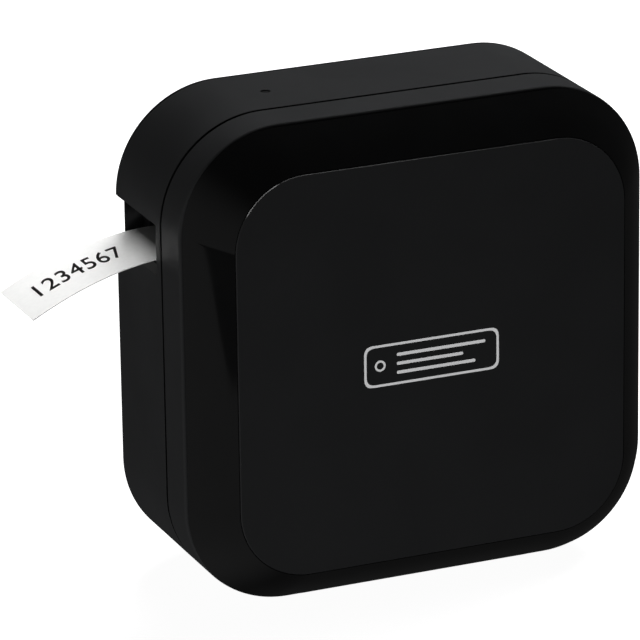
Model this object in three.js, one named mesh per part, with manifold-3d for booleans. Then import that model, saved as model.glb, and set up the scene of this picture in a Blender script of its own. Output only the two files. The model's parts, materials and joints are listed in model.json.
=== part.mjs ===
// Desktop label maker: a rounded square box that stands on edge, prints a 24 mm label and feeds it
// out of a recess in its left side. Millimetres, +Z up, front faces -Y, origin under the middle of
// the body on the surface it stands on.
import * as THREE from 'three';
import { mergeVertices } from 'three/addons/utils/BufferGeometryUtils.js';
import Module from 'manifold-3d';

const wasm = await Module();
wasm.setup();

const TAU = 2 * Math.PI;
const DEG = Math.PI / 180;

// Driving dimensions
const WIDTH = 128;
const HEIGHT = 127;
const DEPTH = 67;
const FOOT_DROP = 0.5;         // how far the rubber feet stand below the case
const CORNER = 27.7;           // corner radius of the side walls
const WALL = 2.4;
const BEVEL = 12;              // depth of the sloping front and back borders
const SEAM_Y = -8.9;           // joint between front and rear case halves
const SEAM_GAP = 0.6;
const GAP = 0.3;               // clearance between touching pieces
const PANEL_HALF = { x: 53.5, z: 53.2 };
const PANEL_CORNER = 19;
const PANEL_THICK = 2;
const RING_INSET = 0.8;        // how far the gloss border's rear edge sits inside the side walls
const LIP = { inset: 4.2, y: 1.3 };  // tongue of the front shell that centres the two halves
const PANEL_EDGE = 0.4;        // chamfer round the front panel
const PANEL_REST = { halfX: 50.5, halfZ: 50.2, corner: 16.5 };   // opening of the border behind the panel
const BACK_HALF = { x: 53.7, z: 53.2 };
const RECESS = { y0: -5.5, y1: 26.2, z0: 87.5, z1: 100, depth: 9, wall: 2 };
const TAPE = { y0: -2.5, y1: 21.5, z: 90.4, thick: 0.3 };
const LABEL = { bendX: -53, curl: 0.00635, endX: -96.3 };   // where it starts to fall, and how fast
const MODULE = 0.8;            // gear tooth module
const HINGE = { x: 62.2, y: 23.4, barrel: 1.6, pin: 0.7, lug: 3, knuckle: 4, long: 10, relief: 2.75 };
const HINGE_ZONES = [33, 86];  // lower end of each hinge
const CATCH_SLOT = { x0: -47.2, x1: -37.6, z0: 59.2, z1: 68.8 };
const CATCH = { z0: 60, z1: 68 };
const FOOT = { half: 34, front: [-20, -11.5], rear: [-6.5, 19], top: 1.2 };
const TOP_LIGHT = { x: -28.9, y: 5.6, radius: 1.2, flange: 2.2 };
const BUTTON = { y: -15.4, cap: 3.5, x0: 60.2, proud: 0.5, flange: 4.1 };
const BUTTONS = [{ name: 'power', z: 84 }, { name: 'feed', z: 66 }];
const SOCKET = { y0: -19, y1: -11.4, z0: 27.8, z1: 32.2, wall: 0.5 };
const CASSETTE = { y0: -4.4, y1: 21.6, wall: 1.5 };
const TAPE_ROLL = { x: 14, z: 69, radius: 21.5, bore: 8 };
const RIBBON_ROLL = { x: -4, z: 41, radius: 8, bore: 3.6 };
const PLATE = { y0: -7.0, y1: -5.2 };   // engine plate between the two compartments
const GEAR = { y0: -12.5, y1: -9.0 };
const MOTOR_FRONT = -26.6;     // front ends of both motors and the battery
const CUT_X = -50.35;          // plane where the label is cut

// Derived places
const HALF_W = WIDTH / 2;
const HALF_H = HEIGHT / 2;
const MID_Z = FOOT_DROP + HALF_H;
const FRONT_Y = -DEPTH / 2;
const BACK_Y = DEPTH / 2;
const RING_Y = FRONT_Y + BEVEL;
const CAP_Y = BACK_Y - BEVEL;
const SCREW_OUT = 14.5;        // case screw offset from each corner's centre, along X and Z
const CORNER_MID = { x: HALF_W - CORNER, z: HALF_H - CORNER };

const finishes = {
  case_matte: { color: 0x2b2c2e, roughness: 0.62, metalness: 0 },
  gloss_black: { color: 0x0c0c0e, roughness: 0.12, metalness: 0 },
  panel_matte: { color: 0x18191b, roughness: 0.5, metalness: 0 },
  rubber: { color: 0x1c1c1c, roughness: 0.9, metalness: 0 },
  button_matte: { color: 0x3a3b3d, roughness: 0.55, metalness: 0 },
  light_pipe: { color: 0x2a2d30, roughness: 0.2, metalness: 0 },
  steel: { color: 0xb6b8ba, roughness: 0.3, metalness: 1 },
  motor_can: { color: 0x9fa2a4, roughness: 0.35, metalness: 1 },
  heat_sink: { color: 0xa8abad, roughness: 0.4, metalness: 1 },
  gear_plastic: { color: 0xe4e1d6, roughness: 0.45, metalness: 0 },
  inner_plastic: { color: 0x303133, roughness: 0.6, metalness: 0 },
  circuit_board: { color: 0x1c5a38, roughness: 0.5, metalness: 0 },
  ceramic_head: { color: 0x8a8d88, roughness: 0.3, metalness: 0 },
  battery_wrap: { color: 0x26425e, roughness: 0.4, metalness: 0 },
  label_white: { color: 0xf4f4f2, roughness: 0.35, metalness: 0 },
  cassette_grey: { color: 0x9ea0a2, roughness: 0.5, metalness: 0 },
  ribbon_black: { color: 0x101012, roughness: 0.3, metalness: 0 },
};

const object = new THREE.Group();
const materials = Object.fromEntries(
  Object.entries(finishes).map(([name, finish]) => {
    const material = new THREE.MeshStandardMaterial(finish);
    material.name = name;
    return [name, material];
  }),
);

function add(name, finish, geometry) {
  const mesh = new THREE.Mesh(geometry, materials[finish]);
  mesh.name = name;
  object.add(mesh);
}

// ---- Shape helpers ----

function roundedRect(halfX, halfZ, radius) {
  const x = halfX - radius;
  const z = halfZ - radius;
  const shape = new THREE.Shape();
  shape.absarc(x, z, radius, 0, TAU / 4);
  shape.absarc(-x, z, radius, TAU / 4, TAU / 2);
  shape.absarc(-x, -z, radius, TAU / 2, 0.75 * TAU);
  shape.absarc(x, -z, radius, 0.75 * TAU, TAU);
  shape.closePath();
  return shape;
}

function polygon(points) {
  return new THREE.Shape(points.map(([x, y]) => new THREE.Vector2(x, y)));
}

// An outline in the X-Z plane, made solid from y0 to y1
function slab(shape, y0, y1, curveSegments = 10) {
  const geometry = new THREE.ExtrudeGeometry(shape, { depth: y1 - y0, bevelEnabled: false, curveSegments });
  return geometry.rotateX(Math.PI / 2).translate(0, y1, 0);
}

// An outline in the Y-Z plane, made solid from x0 to x1
function sideSlab(shape, x0, x1) {
  const geometry = new THREE.ExtrudeGeometry(shape, { depth: x1 - x0, bevelEnabled: false });
  const turn = new THREE.Matrix4().makeBasis(
    new THREE.Vector3(0, 1, 0), new THREE.Vector3(0, 0, 1), new THREE.Vector3(1, 0, 0),
  );
  return geometry.applyMatrix4(turn).translate(x0, 0, 0);
}

// An outline in the X-Y plane, made solid from z0 to z1
function floorSlab(shape, z0, z1) {
  return new THREE.ExtrudeGeometry(shape, { depth: z1 - z0, bevelEnabled: false }).translate(0, 0, z0);
}

// A body whose outline changes along Y; rings are [y, shape], front to back
function loft(rings, curveSegments = 10) {
  const outlines = rings.map(([, shape]) => distinctPoints(shape, curveSegments));
  const count = outlines[0].length;
  const positions = [];
  rings.forEach(([y], i) => outlines[i].forEach((p) => positions.push(p.x, y, p.y)));
  const index = [];
  for (let ring = 0; ring + 1 < rings.length; ring += 1) {
    for (let i = 0; i < count; i += 1) {
      const a = ring * count + i;
      const b = ring * count + (i + 1) % count;
      index.push(a, a + count, b, b, a + count, b + count);
    }
  }
  const last = (rings.length - 1) * count;
  for (const [a, b, c] of THREE.ShapeUtils.triangulateShape(outlines[0], [])) {
    index.push(a, b, c, last + a, last + c, last + b);
  }
  const geometry = new THREE.BufferGeometry();
  geometry.setAttribute('position', new THREE.Float32BufferAttribute(positions, 3));
  geometry.setIndex(index);
  return geometry;
}

function distinctPoints(shape, curveSegments) {
  const points = shape.getPoints(curveSegments);
  return points.filter((p, i) => p.distanceTo(points[(i + 1) % points.length]) > 1e-6);
}

function box(x0, x1, y0, y1, z0, z1) {
  const geometry = new THREE.BoxGeometry(x1 - x0, y1 - y0, z1 - z0);
  return geometry.translate((x0 + x1) / 2, (y0 + y1) / 2, (z0 + z1) / 2);
}

function rodY(radius, y0, y1, x, z, sides = 24) {
  return new THREE.CylinderGeometry(radius, radius, y1 - y0, sides).translate(x, (y0 + y1) / 2, z);
}

function rodZ(radius, z0, z1, x, y, sides = 16) {
  const geometry = new THREE.CylinderGeometry(radius, radius, z1 - z0, sides).rotateX(Math.PI / 2);
  return geometry.translate(x, y, (z0 + z1) / 2);
}

function rodX(radius, x0, x1, y, z, sides = 24) {
  const geometry = new THREE.CylinderGeometry(radius, radius, x1 - x0, sides).rotateZ(Math.PI / 2);
  return geometry.translate((x0 + x1) / 2, y, z);
}

// The outline of the side walls, drawn in by an inset
function insetRect(inset) {
  return roundedRect(HALF_W - inset, HALF_H - inset, CORNER - inset);
}

function caseRing(y, inset) {
  return [y, insetRect(inset)];
}

// ---- Cutting and joining ----

function toSolid(geometry) {
  const bare = geometry.clone();
  bare.deleteAttribute('normal');
  bare.deleteAttribute('uv');
  const merged = mergeVertices(bare, 1e-4);
  return new wasm.Manifold(new wasm.Mesh({
    numProp: 3,
    vertProperties: new Float32Array(merged.attributes.position.array),
    triVerts: new Uint32Array(merged.index.array),
  }));
}

function toGeometry(solid) {
  const mesh = solid.getMesh();
  const geometry = new THREE.BufferGeometry();
  geometry.setAttribute('position', new THREE.BufferAttribute(mesh.vertProperties, 3));
  geometry.setIndex(new THREE.BufferAttribute(mesh.triVerts, 1));
  return geometry;
}

function combine(base, joined, removed = []) {
  let solid = toSolid(base);
  for (const piece of joined) solid = solid.add(toSolid(piece));
  for (const piece of removed) solid = solid.subtract(toSolid(piece));
  return toGeometry(solid);
}

function cut(base, ...removed) {
  return combine(base, [], removed);
}

function join(base, ...joined) {
  return combine(base, joined);
}

function common(first, second) {
  return toGeometry(toSolid(first).intersect(toSolid(second)));
}

// ---- Gear train, seen from the front: x to the right, z up, angles counter-clockwise ----

// A gear that meshes with its driver and lies in direction heading from it
function meshedGear(driver, teeth, heading) {
  const reach = MODULE * (driver.teeth + teeth) / 2;
  const driverPhase = (heading - driver.phase) * driver.teeth / TAU;
  return {
    x: driver.x + reach * Math.cos(heading),
    z: driver.z + reach * Math.sin(heading),
    teeth,
    phase: heading + Math.PI - (0.5 - driverPhase) * TAU / teeth,
  };
}

const PLATEN = { x: -40, z: 85.95, teeth: 20, phase: 0, radius: 4, shaft: 1.5 };
const IDLER = meshedGear(PLATEN, 24, -45 * DEG);
const MOTOR = meshedGear(IDLER, 16, -10 * DEG);
const TAKE_UP = meshedGear(IDLER, 28, -75 * DEG);
const RACK = { x: -48, z0: 95, z1: 108.5 };
const PINION_RADIUS = MODULE * 14 / 2;
const CUT_PINION = { x: RACK.x + PINION_RADIUS, z: 101.5, teeth: 14, phase: Math.PI };

function gearOutline({ teeth, phase, x, z }, bore) {
  const pitch = TAU / teeth;
  const pitchRadius = MODULE * teeth / 2;
  const corners = [[-0.27, -1.2], [-0.11, 0.8], [0.11, 0.8], [0.27, -1.2]];
  const points = [];
  for (let tooth = 0; tooth < teeth; tooth += 1) {
    for (const [turn, height] of corners) {
      const angle = phase + (tooth + turn) * pitch;
      const radius = pitchRadius + height * MODULE;
      points.push([x + radius * Math.cos(angle), z + radius * Math.sin(angle)]);
    }
  }
  const shape = polygon(points);
  if (bore > 0) {
    const hole = new THREE.Path();
    hole.absarc(x, z, bore, 0, TAU, true);
    shape.holes.push(hole);
  }
  return shape;
}

function gear(place, bore) {
  return slab(gearOutline(place, bore), GEAR.y0, GEAR.y1, 8);
}

// ---- Case ----

function cornerPlaces() {
  const signs = [[-1, -1], [1, -1], [1, 1], [-1, 1]];
  return signs.map(([sx, sz]) => ({
    x: sx * (CORNER_MID.x + SCREW_OUT),
    z: MID_Z + sz * (CORNER_MID.z + SCREW_OUT),
  }));
}

function recessOutline(grow) {
  const inner = -HALF_W + RECESS.depth + grow;
  const { z0, z1 } = RECESS;
  return polygon([
    [-HALF_W - 3, z1 + grow], [inner - 1, z1 + grow], [inner, z1 - 1 + grow],
    [inner, z0 + 1.6 - grow], [inner - 1.5, z0 + 0.8 - grow], [-HALF_W + 3, z0 + 0.3 - grow],
    [-HALF_W, z0 - 0.9 - grow], [-HALF_W - 3, z0 - 2.5 - grow],
  ]);
}

// Walls of the tape exit behind the case wall, between y0 and y1
function recessWalls(y0, y1) {
  const room = box(-HALF_W + WALL + 0.5, 0, y0, y1, 0, HEIGHT);
  return cut(
    common(slab(recessOutline(RECESS.wall), y0, y1), room),
    slab(recessOutline(0), RECESS.y0, y1 + 1),
  );
}

// Moulded insert that lines the label exit, with the slot that the tape passes through
function exitGuide() {
  const inner = -HALF_W + RECESS.depth;
  return cut(
    recessWalls(RECESS.y0 - 2, CAP_Y - GAP),
    box(inner - 1, inner + 3, TAPE.y0 - 0.7, CAP_Y + 1, TAPE.z - 1.5, TAPE.z + 1.6),
  );
}

function hingePinBores() {
  return HINGE_ZONES.map((z) => rodZ(HINGE.pin + GAP, z - 1, z + HINGE.long + 1, HINGE.x, HINGE.y));
}

function footPocket([y0, y1]) {
  return box(-FOOT.half - GAP, FOOT.half + GAP, y0 - GAP, y1 + GAP, 0, FOOT.top + GAP);
}

// Lower ends of the hinge lugs on the rear shell
function lugHeights() {
  return HINGE_ZONES.flatMap((z) => [z, z + HINGE.lug + HINGE.knuckle]);
}

function rearShell() {
  const y0 = SEAM_Y + SEAM_GAP / 2;
  const centred = (geometry) => geometry.translate(0, 0, MID_Z);
  const outer = centred(loft([caseRing(y0, 0.3), caseRing(y0 + 0.3, 0), caseRing(CAP_Y, 0)]));
  const inner = centred(loft([caseRing(y0 - 1, WALL), caseRing(CAP_Y + 1, WALL)]));
  const lugs = lugHeights().flatMap((low) => [
    rodZ(HINGE.barrel, low, low + HINGE.lug, HINGE.x, HINGE.y),
    box(HINGE.x - HINGE.barrel, HINGE.x + HINGE.barrel, CAP_Y - 1.5, HINGE.y, low, low + HINGE.lug),
  ]);
  const tube = cut(
    cut(outer, inner),
    slab(recessOutline(0), RECESS.y0, CAP_Y + 1),
    rodZ(HINGE.relief, 16, 112, HINGE.x, HINGE.y, 24),
    footPocket(FOOT.rear),
    rodZ(TOP_LIGHT.radius + GAP, MID_Z, HEIGHT + 2, TOP_LIGHT.x, TOP_LIGHT.y),
  );
  const catchRib = box(-HALF_W + 1, -59.5, 16, 18.2, CATCH.z0, CATCH.z1);
  return combine(tube, [catchRib, ...lugs], hingePinBores());
}

function frontShell() {
  const y1 = SEAM_Y - SEAM_GAP / 2;
  const centred = (geometry) => geometry.translate(0, 0, MID_Z);
  const outer = centred(loft([
    caseRing(RING_Y, RING_INSET), caseRing(RING_Y + 0.8, 0), caseRing(y1 - 0.3, 0), caseRing(y1, 0.3),
  ]));
  const inner = centred(loft([caseRing(RING_Y + 1.6, WALL), caseRing(y1 + 1, WALL)]));
  const frontHole = centred(slab(roundedRect(57.5, 57, 21), RING_Y - 1, RING_Y + 2));
  const inside = slab(insetRect(LIP.inset), y1 - 4, y1 + 2);
  const lip = centred(cut(slab(insetRect(WALL + GAP), y1 - 1.4, y1 + LIP.y), inside));
  const shoulder = centred(cut(slab(insetRect(1), y1 - 1.8, y1 - 0.6), inside));
  const bosses = cornerPlaces().map(({ x, z }) => rodY(5.2, RING_Y + 1, y1, x, z, 12));
  const bores = cornerPlaces().map(({ x, z }) => rodY(1.6, -19, y1 + 2, x, z, 12));
  return combine(cut(outer, inner, frontHole), [lip, shoulder, ...bosses], [
    ...bores,
    ...BUTTONS.map(({ z }) => rodX(BUTTON.cap + GAP, HALF_W - 4, HALF_W + 2, BUTTON.y, z)),
    box(HALF_W - 4, HALF_W + 2, SOCKET.y0 - GAP, SOCKET.y1 + GAP, SOCKET.z0 - GAP, SOCKET.z1 + GAP),
    footPocket(FOOT.front),
  ]);
}

function frontBezel() {
  const pocket = { x: PANEL_HALF.x + GAP, z: PANEL_HALF.z + GAP };
  const backY = RING_Y - GAP;
  const outer = loft([
    [FRONT_Y + 0.2, roundedRect(pocket.x + 0.4, pocket.z + 0.4, PANEL_CORNER + 0.5)],
    [backY, roundedRect(HALF_W - RING_INSET, HALF_H - RING_INSET, 25.5)],
  ]);
  const { halfX, halfZ, corner } = PANEL_REST;
  const shelfY = FRONT_Y + PANEL_THICK + GAP;
  return cut(
    outer,
    slab(roundedRect(pocket.x, pocket.z, PANEL_CORNER + 0.3), FRONT_Y - 1, shelfY),
    slab(roundedRect(halfX, halfZ, corner), FRONT_Y - 1, backY + 1),
    loft([
      [shelfY + 2, roundedRect(halfX + GAP, halfZ + GAP, corner + 0.5)],
      [backY + 1, roundedRect(60.6, 60.1, 23)],
    ]),
  ).translate(0, 0, MID_Z);
}

function frontPanel() {
  const { x, z } = PANEL_HALF;
  return loft([
    [FRONT_Y, roundedRect(x - PANEL_EDGE, z - PANEL_EDGE, PANEL_CORNER - PANEL_EDGE)],
    [FRONT_Y + PANEL_EDGE, roundedRect(x, z, PANEL_CORNER)],
    [FRONT_Y + PANEL_THICK, roundedRect(x, z, PANEL_CORNER)],
  ]).translate(0, 0, MID_Z);
}

function coverShell() {
  const y0 = CAP_Y + GAP;
  const backOutline = roundedRect(BACK_HALF.x, BACK_HALF.z, PANEL_CORNER);
  const centred = (geometry) => geometry.translate(0, 0, MID_Z);
  const outer = centred(loft([caseRing(y0, 0), [BACK_Y, backOutline]]));
  const cavity = centred(loft([
    caseRing(CAP_Y, WALL),
    [BACK_Y - 2.2, roundedRect(BACK_HALF.x - 2.3, BACK_HALF.z - 2.3, PANEL_CORNER - 2)],
  ]));
  const lugRooms = lugHeights().map((low) => (
    box(HINGE.x - 2.2, HALF_W + 2, CAP_Y - 1, HINGE.y + 2, low - GAP, low + HINGE.lug + GAP)
  ));
  const barrels = HINGE_ZONES.map((z) => (
    rodZ(HINGE.barrel, z + HINGE.lug + GAP, z + HINGE.lug + HINGE.knuckle - GAP, HINGE.x, HINGE.y)
  ));
  const recess = slab(recessOutline(0), CAP_Y, RECESS.y1);
  const pocketWall = common(cut(slab(recessOutline(RECESS.wall), y0, RECESS.y1 + 1.8), recess), outer);
  const shell = join(cut(outer, cavity), pocketWall);
  return cut(
    combine(shell, barrels, [recess, ...lugRooms]),
    ...hingePinBores(),
    box(CATCH_SLOT.x0, CATCH_SLOT.x1, BACK_Y - 4, BACK_Y + 1, CATCH_SLOT.z0, CATCH_SLOT.z1),
  );
}

// Sliding catch of the rear cover: a thumb pad in the back wall and a hook behind the left edge
function coverLatch() {
  const slider = floorSlab(polygon([
    [-37, 30.9], [-49.5, 30.9], [-59.2, 21.3], [-59.2, 18.5],
    [-57.2, 18.5], [-57.2, 20.5], [-48.7, 29], [-37, 29],
  ]), CATCH.z0, CATCH.z1);
  const pad = box(CATCH_SLOT.x0 + 0.4, -41, 30, BACK_Y - 0.4, CATCH.z0 - 0.4, CATCH.z1 + 0.4);
  return join(slider, pad);
}

function buildCase() {
  add('rear_shell', 'case_matte', rearShell());
  add('exit_guide', 'inner_plastic', exitGuide());
  add('front_shell', 'case_matte', frontShell());
  add('front_bezel', 'gloss_black', frontBezel());
  add('front_panel', 'panel_matte', frontPanel());
  add('cover_shell', 'case_matte', coverShell());
  add('cover_latch', 'button_matte', coverLatch());
  for (const [i, z] of HINGE_ZONES.entries()) {
    const pin = rodZ(HINGE.pin, z, z + HINGE.long, HINGE.x, HINGE.y, 12);
    add(`cover_hinge_pin_${i + 1}`, 'steel', pin);
  }
  for (const side of ['front', 'rear']) {
    add(`${side}_foot`, 'rubber', box(-FOOT.half, FOOT.half, ...FOOT[side], 0, FOOT.top));
  }
  const { x, y, radius, flange } = TOP_LIGHT;
  const lens = rodZ(radius, HEIGHT - 5, HEIGHT + FOOT_DROP - 0.15, x, y);
  add('status_light_pipe', 'light_pipe', join(lens, rodZ(flange, HEIGHT - 6.5, HEIGHT - 5, x, y)));
}

function buildSideControls() {
  for (const { name, z } of BUTTONS) {
    const cap = rodX(BUTTON.cap, BUTTON.x0, HALF_W + BUTTON.proud, BUTTON.y, z);
    const flange = rodX(BUTTON.flange, BUTTON.x0, BUTTON.x0 + 1, BUTTON.y, z);
    add(`${name}_button`, 'button_matte', join(cap, flange));
    const body = box(55.3, 57.8, BUTTON.y - 3, BUTTON.y + 3, z - 3, z + 3);
    add(`${name}_switch`, 'inner_plastic', join(body, rodX(1.6, 57, 59, BUTTON.y, z, 16)));
  }
  add('side_board', 'circuit_board', box(53.6, 55, -19, -10.6, 55, 93));
  const { y0, y1, z0, z1, wall } = SOCKET;
  const can = cut(
    box(56, HALF_W - 0.3, y0, y1, z0, z1),
    box(58, HALF_W + 1, y0 + wall, y1 - wall, z0 + wall, z1 - wall),
  );
  const tongue = box(57, HALF_W - 1, y0 + 2, y1 - 2, z0 + 1.8, z0 + 2.5);
  add('charging_socket', 'steel', join(can, tongue));
}

// ---- Front compartment: electronics, battery and drive ----

function enginePlate() {
  const outline = slab(roundedRect(59.3, 58.8, 23.1), PLATE.y0, PLATE.y1).translate(0, 0, MID_Z);
  const post = rodY(1.5, GEAR.y0 - 1, PLATE.y0 + 1, IDLER.x, IDLER.z);
  return combine(outline, [post], [
    box(-70, -52.6, PLATE.y0 - 1, PLATE.y1 + 1, 85, 103.2),
    box(-50.6, -48.9, PLATE.y0 - 1, PLATE.y1 + 1, 89.5, 109),
    rodY(3.3, PLATE.y0 - 1, PLATE.y1 + 1, PLATEN.x, PLATEN.z),
    rodY(2.7, PLATE.y0 - 1, PLATE.y1 + 1, TAKE_UP.x, TAKE_UP.z),
    ...cornerPlaces().map(({ x, z }) => rodY(1.7, PLATE.y0 - 1, PLATE.y1 + 1, x, z, 12)),
  ]);
}

function caseScrew({ x, z }) {
  const shaft = rodY(1.25, -18, PLATE.y1 + 0.8, x, z, 12);
  const head = rodY(2.6, PLATE.y1 + GAP, PLATE.y1 + 2.2, x, z, 16);
  const slotted = join(shaft, head);
  const y = PLATE.y1 + 1.4;
  return cut(
    slotted,
    box(x - 0.4, x + 0.4, y, y + 2, z - 1.8, z + 1.8),
    box(x - 1.8, x + 1.8, y, y + 2, z - 0.4, z + 0.4),
  );
}

function buildElectronics() {
  add('main_board', 'circuit_board', box(-45, 45, -28.9, -27.3, 20, 108));
  add('wireless_module', 'heat_sink', box(10, 28, -27, -24.8, 86, 102));
  add('processor_chip', 'inner_plastic', box(12, 26, -27, -25.6, 60, 74));
  add('battery_pack', 'battery_wrap', box(-28, 40, MOTOR_FRONT, GEAR.y1, 14, 39.5));
}

function buildDrive() {
  add('engine_plate', 'inner_plastic', enginePlate());
  cornerPlaces().forEach((place, i) => add(`case_screw_${i + 1}`, 'steel', caseScrew(place)));
  const motorShaft = rodY(2, GEAR.y0 - 0.7, GEAR.y1 + 0.6, MOTOR.x, MOTOR.z);
  add('feed_motor', 'motor_can', rodY(10, MOTOR_FRONT, GEAR.y0 - 1, MOTOR.x, MOTOR.z, 32));
  add('motor_pinion', 'gear_plastic', join(gear(MOTOR, 0), motorShaft));
  add('idler_gear', 'gear_plastic', gear(IDLER, 1.8));
  add('platen_gear', 'gear_plastic', gear(PLATEN, PLATEN.shaft + GAP));
  const drive = rodY(2.2, GEAR.y0, 20, TAKE_UP.x, TAKE_UP.z, 16);
  add('take_up_gear', 'gear_plastic', join(gear(TAKE_UP, 0), drive));
  add('platen_bush', 'steel', cut(
    rodY(3, PLATE.y0, PLATE.y1, PLATEN.x, PLATEN.z),
    rodY(PLATEN.shaft + GAP, PLATE.y0 - 1, PLATE.y1 + 1, PLATEN.x, PLATEN.z),
  ));
}

// ---- Print engine in the rear compartment ----

function rackOutline() {
  const pitch = Math.PI * MODULE;
  const root = RACK.x - 1.2 * MODULE;
  const tip = RACK.x + 0.8 * MODULE;
  const points = [[CUT_X + 0.15, RACK.z0], [root, RACK.z0]];
  const first = Math.ceil((RACK.z0 - CUT_PINION.z + 0.5) / pitch - 0.5);
  for (let k = first; CUT_PINION.z + (k + 0.5) * pitch < RACK.z1 - 0.7; k += 1) {
    const z = CUT_PINION.z + (k + 0.5) * pitch;
    points.push(
      [root, z - 0.27 * pitch], [tip, z - 0.11 * pitch], [tip, z + 0.11 * pitch], [root, z + 0.27 * pitch],
    );
  }
  points.push([root, RACK.z1], [CUT_X + 0.15, RACK.z1]);
  return polygon(points);
}

function movingBlade() {
  const blade = sideSlab(polygon([
    [-4.2, 91.2], [22.5, 93], [22.5, 99], [-2, 99], [-2, RACK.z1],
    [GEAR.y0, RACK.z1], [GEAR.y0, RACK.z0], [-4.2, RACK.z0],
  ]), CUT_X + 0.15, CUT_X + 1.05);
  return join(blade, slab(rackOutline(), GEAR.y0, GEAR.y1));
}

function rollerBracket() {
  const base = box(-46, -34, PLATE.y1 + GAP, 23.6, 76.4, 78.4);
  const cheek = box(-43, -37, 22.1, 23.6, 77, 89);
  return cut(join(base, cheek), rodY(PLATEN.shaft + GAP, 21, 25, PLATEN.x, PLATEN.z));
}

// The printed label runs level out of the cutter and then curls down like a parabola
function labelStrip() {
  const steps = 20;
  const start = CUT_X - 0.15;
  const side = (offset) => Array.from({ length: steps + 1 }, (_, i) => {
    const x = start + (LABEL.endX - start) * i / steps;
    const run = Math.max(0, LABEL.bendX - x);
    const slope = 2 * LABEL.curl * run;
    const length = Math.hypot(1, slope);
    return [x - offset * slope / length, TAPE.z - LABEL.curl * run * run + offset / length];
  });
  return slab(polygon([...side(-TAPE.thick / 2), ...side(TAPE.thick / 2).reverse()]), TAPE.y0, TAPE.y1);
}

function buildEngine() {
  const shaft = rodY(PLATEN.shaft, GEAR.y0 - 1, 23.4, PLATEN.x, PLATEN.z, 20);
  const sleeve = rodY(PLATEN.radius, TAPE.y0 - 0.1, TAPE.y1 + 0.3, PLATEN.x, PLATEN.z, 32);
  add('platen_roller', 'rubber', join(shaft, sleeve));
  add('roller_bracket', 'inner_plastic', rollerBracket());
  add('print_head', 'ceramic_head', box(-44, -36, -3, 21.8, 90.85, 92.8));
  add('head_heat_sink', 'heat_sink', box(-45, -35, PLATE.y1 + GAP, 21.5, 93.1, 101));
  add('fixed_blade', 'steel', box(CUT_X - 1.25, CUT_X - 0.15, PLATE.y1 + GAP, 22.5, 78, TAPE.z - 0.45));
  add('moving_blade', 'steel', movingBlade());
  add('cutter_motor', 'motor_can', rodY(7.5, MOTOR_FRONT, GEAR.y0 - 1, CUT_PINION.x, CUT_PINION.z, 28));
  add('cutter_pinion', 'gear_plastic', join(
    gear(CUT_PINION, 0), rodY(1.6, GEAR.y0 - 0.7, GEAR.y1 + 0.6, CUT_PINION.x, CUT_PINION.z, 16),
  ));
  add('label_strip', 'label_white', labelStrip());
  const low = TAPE.z - TAPE.thick / 2;
  add('tape_tail', 'label_white', box(CUT_X + 1.35, -20, TAPE.y0, TAPE.y1, low, low + TAPE.thick));
}

// ---- Tape cassette ----

function cassetteOutline(inset) {
  const i = inset;
  return polygon([
    [-46 + i, 30 + i], [40 - i, 30 + i], [40 - i, 96 - i],
    [-28 + i, 96 - i], [-28 + i, 76 - i], [-46 + i, 76 - i],
  ]);
}

function cassetteBase() {
  const { y0, y1, wall } = CASSETTE;
  const tray = cut(slab(cassetteOutline(0), y0, y1), slab(cassetteOutline(wall), y0 + wall, y1 + 1));
  return combine(tray, [
    rodY(TAPE_ROLL.bore - 0.4, y0, y1, TAPE_ROLL.x, TAPE_ROLL.z),
    rodY(RIBBON_ROLL.bore - 0.4, y0, y1, RIBBON_ROLL.x, RIBBON_ROLL.z),
  ], [
    rodY(4.2, y0 - 1, y0 + wall + 1, TAKE_UP.x, TAKE_UP.z),
    box(-29, -26, TAPE.y0 - 0.6, y1 + 1, TAPE.z - 0.9, TAPE.z + 0.9),
    rodY(TAPE_ROLL.bore - 2, y0 - 1, y1 - 2, TAPE_ROLL.x, TAPE_ROLL.z),
  ]);
}

function cassetteLid() {
  const { y1 } = CASSETTE;
  return cut(
    slab(cassetteOutline(0.2), y1 + GAP, y1 + 1.7),
    rodY(3, y1, y1 + 3, TAKE_UP.x, TAKE_UP.z),
    slab(roundedRect(16, 5, 4), y1, y1 + 3).translate(14, 0, 62),
  );
}

function roll({ x, z, radius, bore }, y0, y1) {
  return cut(rodY(radius, y0, y1, x, z, 36), rodY(bore, y0 - 1, y1 + 1, x, z, 24));
}

function buildCassette() {
  add('cassette_base', 'cassette_grey', cassetteBase());
  add('cassette_lid', 'cassette_grey', cassetteLid());
  add('tape_roll', 'label_white', roll(TAPE_ROLL, TAPE.y0, TAPE.y1 - 0.4));
  add('ribbon_supply_roll', 'ribbon_black', roll(RIBBON_ROLL, TAPE.y0, TAPE.y1 - 0.4));
  const takeUp = { ...TAKE_UP, radius: 7, bore: 2.5 };
  add('ribbon_take_up_roll', 'ribbon_black', roll(takeUp, TAPE.y0, TAPE.y1 - 0.4));
}

buildCase();
buildSideControls();
buildElectronics();
buildDrive();
buildEngine();
buildCassette();

export default object;
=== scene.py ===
"""Looks for the desktop label maker: smooth shells, plastics, the printed label and the inside."""
import json
import math

import bmesh
import bpy
from mathutils import Matrix, Vector


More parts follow.
